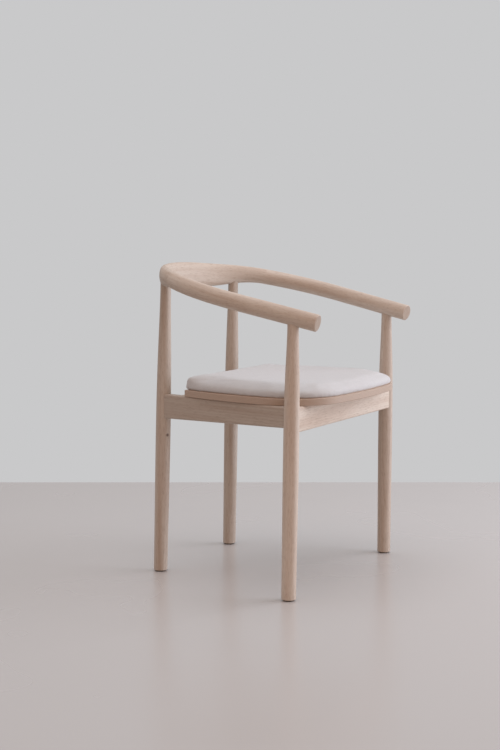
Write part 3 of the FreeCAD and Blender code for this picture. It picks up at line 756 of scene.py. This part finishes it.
def clothMaterial():
    material, tree = newMaterial("wovenWool")
    add = partial(addNode, tree)
    look = clothLook
    place = add("ShaderNodeTexCoord").outputs["Object"]
    stray = add("ShaderNodeTexNoise", {"Vector": place, "Scale": look["strayPace"],
                                       "Detail": 2.0}).outputs["Color"]
    pulled = add("ShaderNodeVectorMath", (stray, (look["stray"] * mm,) * 3, place),
                 operation="MULTIPLY_ADD")
    pace = 2 * math.pi / (look["thread"] * mm)
    waves = []
    for axis in add("ShaderNodeSeparateXYZ", (pulled,)).outputs:
        phase = add("ShaderNodeMath", (axis, pace), operation="MULTIPLY")
        waves.append(add("ShaderNodeMath", (phase,), operation="SINE"))
    normal = add("ShaderNodeNewGeometry").outputs["Normal"]
    facing = add("ShaderNodeSeparateXYZ", (normal,)).outputs
    weave = None
    for a, b, axis in ((0, 1, 2), (0, 2, 1), (1, 2, 0)):   # a plain weave seen along each axis
        crossing = add("ShaderNodeMath", (waves[a], waves[b]), operation="MULTIPLY")
        seen = add("ShaderNodeMath", (facing[axis],), operation="ABSOLUTE")
        part = add("ShaderNodeMath", (crossing, seen), operation="MULTIPLY")
        if weave is not None:
            part = add("ShaderNodeMath", (weave, part), operation="ADD")
        weave = part
    height = add("ShaderNodeMath", (weave, 0.5, 0.5), operation="MULTIPLY_ADD")
    slub = add("ShaderNodeTexNoise", {"Vector": place, "Scale": 1 / (look["slub"] * mm),
                                      "Detail": 3.0})
    thread = add("ShaderNodeMix", {0: height, 6: hexColour(look["weft"]),
                                   7: hexColour(look["warp"])}, data_type="RGBA").outputs[2]
    cloudy = add("ShaderNodeValToRGB", (slub,), look["cloudStops"])
    cloud = add("ShaderNodeMath", (cloudy, look["cloudStrength"]), operation="MULTIPLY")
    colour = add("ShaderNodeMix", {0: cloud, 6: thread, 7: hexColour(look["shade"])},
                 data_type="RGBA").outputs[2]
    least, more = look["rough"]
    roughness = add("ShaderNodeMath", (slub, more, least), operation="MULTIPLY_ADD")
    relief = add("ShaderNodeMath", (slub, look["slubHeight"], height), operation="MULTIPLY_ADD")
    bump = add("ShaderNodeBump", {"Height": relief, "Strength": look["bumpStrength"],
                                  "Distance": look["bumpDepth"] * mm})
    finishMaterial(tree, colour, roughness, look["shader"], bump)
    return material


screws = screwTree("countersunkScrew", zinc)
for name in ("block_screws", "seat_screws", "pad_screws"):
    buildScrews(name, screws)
cover = buildPad()
cover.data.materials.append(clothMaterial())
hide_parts("seat_pad")
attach(cover, "root")
print("pad done:", len(cover.data.polygons), "faces")


# Floor, light and camera. The floor is poured resin, smooth and slightly glossy, so that feet
# mirror softly.

studio = {
    "azimuth": -61.518, "elevation": 5.5335, "distance": 3.1, "target": (-0.027, 0.037, 0.443),
    "lens": 65.39, "sensor": 36.0,
    "floorSize": 2.7, "floorShift": 0.25, "floor": "#c8c3c0", "floorRough": (0.2, 0.12),
    "floorCloud": 2.5,                             # changes of gloss per metre
    "wall": "#c9c9ca", "coolRoom": "#abadb0", "warmRoom": "#ae9383", "warmFrom": 0.75,
    "roomLow": 0.4, "roomHigh": 1.5, "lowBy": -0.3, "highBy": 0.7,
    "windowRise": 0.22, "windowBehind": 0.1, "lampAim": 0.45,
}
turn = math.radians(studio["azimuth"])
tilt = math.radians(studio["elevation"])
back = Vector((math.sin(turn) * math.cos(tilt), -math.cos(turn) * math.cos(tilt), math.sin(tilt)))
right = Vector((math.cos(turn), math.sin(turn), 0))
lamps = {
    "window": {"way": right + Vector((0, 0, studio["windowRise"])) - back * studio["windowBehind"],
               "reach": 2.6, "size": 2.3, "power": 55, "colour": "#f0f4ff"},
    "ceiling": {"way": Vector((0, 0, 1)), "reach": 2.8, "size": 2.6,
                "power": 28, "colour": "#fbfbff"},
}


# Stands off from a point along a direction, with its -Z looking back at it
def facingFrom(point, way, reach):
    return (Matrix.Translation(point + way * reach)
            @ way.to_track_quat("Z", "Y").to_matrix().to_4x4())


def buildFloor():
    half = studio["floorSize"] / 2
    away = Vector((-back.x, -back.y, 0)).normalized()
    middle = away * -studio["floorShift"]
    points = [middle + right * (sx * half) + away * (sy * half)
              for sx, sy in ((-1, -1), (1, -1), (1, 1), (-1, 1))]
    mesh = bpy.data.meshes.new("studioFloor")
    mesh.from_pydata([(p.x, p.y, cadLow.z) for p in points], [], [(0, 1, 2, 3)])
    floor = addObject("studioFloor", mesh)
    material, tree = newMaterial("pouredResinFloor")
    place = addNode(tree, "ShaderNodeTexCoord").outputs["Object"]
    cloud = addNode(tree, "ShaderNodeTexNoise", {"Vector": place, "Scale": studio["floorCloud"],
                                                 "Detail": 2.0})
    least, more = studio["floorRough"]
    roughness = addNode(tree, "ShaderNodeMath", (cloud, more, least), operation="MULTIPLY_ADD")
    finishMaterial(tree, hexColour(studio["floor"]), roughness, {"IOR": 1.5})
    mesh.materials.append(material)


# A pale room: the wall's colour behind the chair, and a light that is warmer from where the
# room opens and stronger from above
def buildLight():
    world = bpy.data.worlds.new("paleStudio")
    bpy.context.scene.world = world
    world.use_nodes = True
    tree = world.node_tree
    tree.nodes.clear()
    add = partial(addNode, tree)
    seen = add("ShaderNodeBackground", {"Color": hexColour(studio["wall"]), "Strength": 1.0})
    way = add("ShaderNodeTexCoord").outputs["Generated"]
    nearness = add("ShaderNodeVectorMath", (way, back), operation="DOT_PRODUCT")
    warm = add("ShaderNodeValToRGB", (nearness.outputs["Value"],),
               ((0.0, hexColour(studio["coolRoom"])),
                (studio["warmFrom"], hexColour(studio["warmRoom"]))))
    rise = add("ShaderNodeSeparateXYZ", (way,)).outputs[2]
    above = add("ShaderNodeMapRange", (rise, 0.0, studio["highBy"], 1.0, studio["roomHigh"]))
    below = add("ShaderNodeMapRange", (rise, studio["lowBy"], 0.0, studio["roomLow"], 1.0))
    strength = add("ShaderNodeMath", (above, below), operation="MULTIPLY")
    lit = add("ShaderNodeBackground", {"Color": warm, "Strength": strength})
    direct = add("ShaderNodeLightPath").outputs["Is Camera Ray"]
    add("ShaderNodeOutputWorld", (add("ShaderNodeMixShader", (direct, lit, seen)),))
    for name, lamp in lamps.items():
        data = bpy.data.lights.new(name, "AREA")
        data.shape = "SQUARE"
        data.size = lamp["size"]
        data.energy = lamp["power"]
        data.color = hexColour(lamp["colour"])[:3]
        obj = addObject(name, data)
        obj.visible_camera = False
        obj.matrix_world = facingFrom(Vector((0, 0, studio["lampAim"])),
                                      lamp["way"].normalized(), lamp["reach"])


def buildCamera():
    data = bpy.data.cameras.new("studioCamera")
    data.lens = studio["lens"]
    data.sensor_width = studio["sensor"]
    obj = addObject("studioCamera", data)
    obj.matrix_world = facingFrom(Vector(studio["target"]), back, studio["distance"])
    bpy.context.scene.camera = obj


buildFloor()
buildLight()
buildCamera()
bpy.context.scene.view_settings.view_transform = "Standard"
print("studio done")
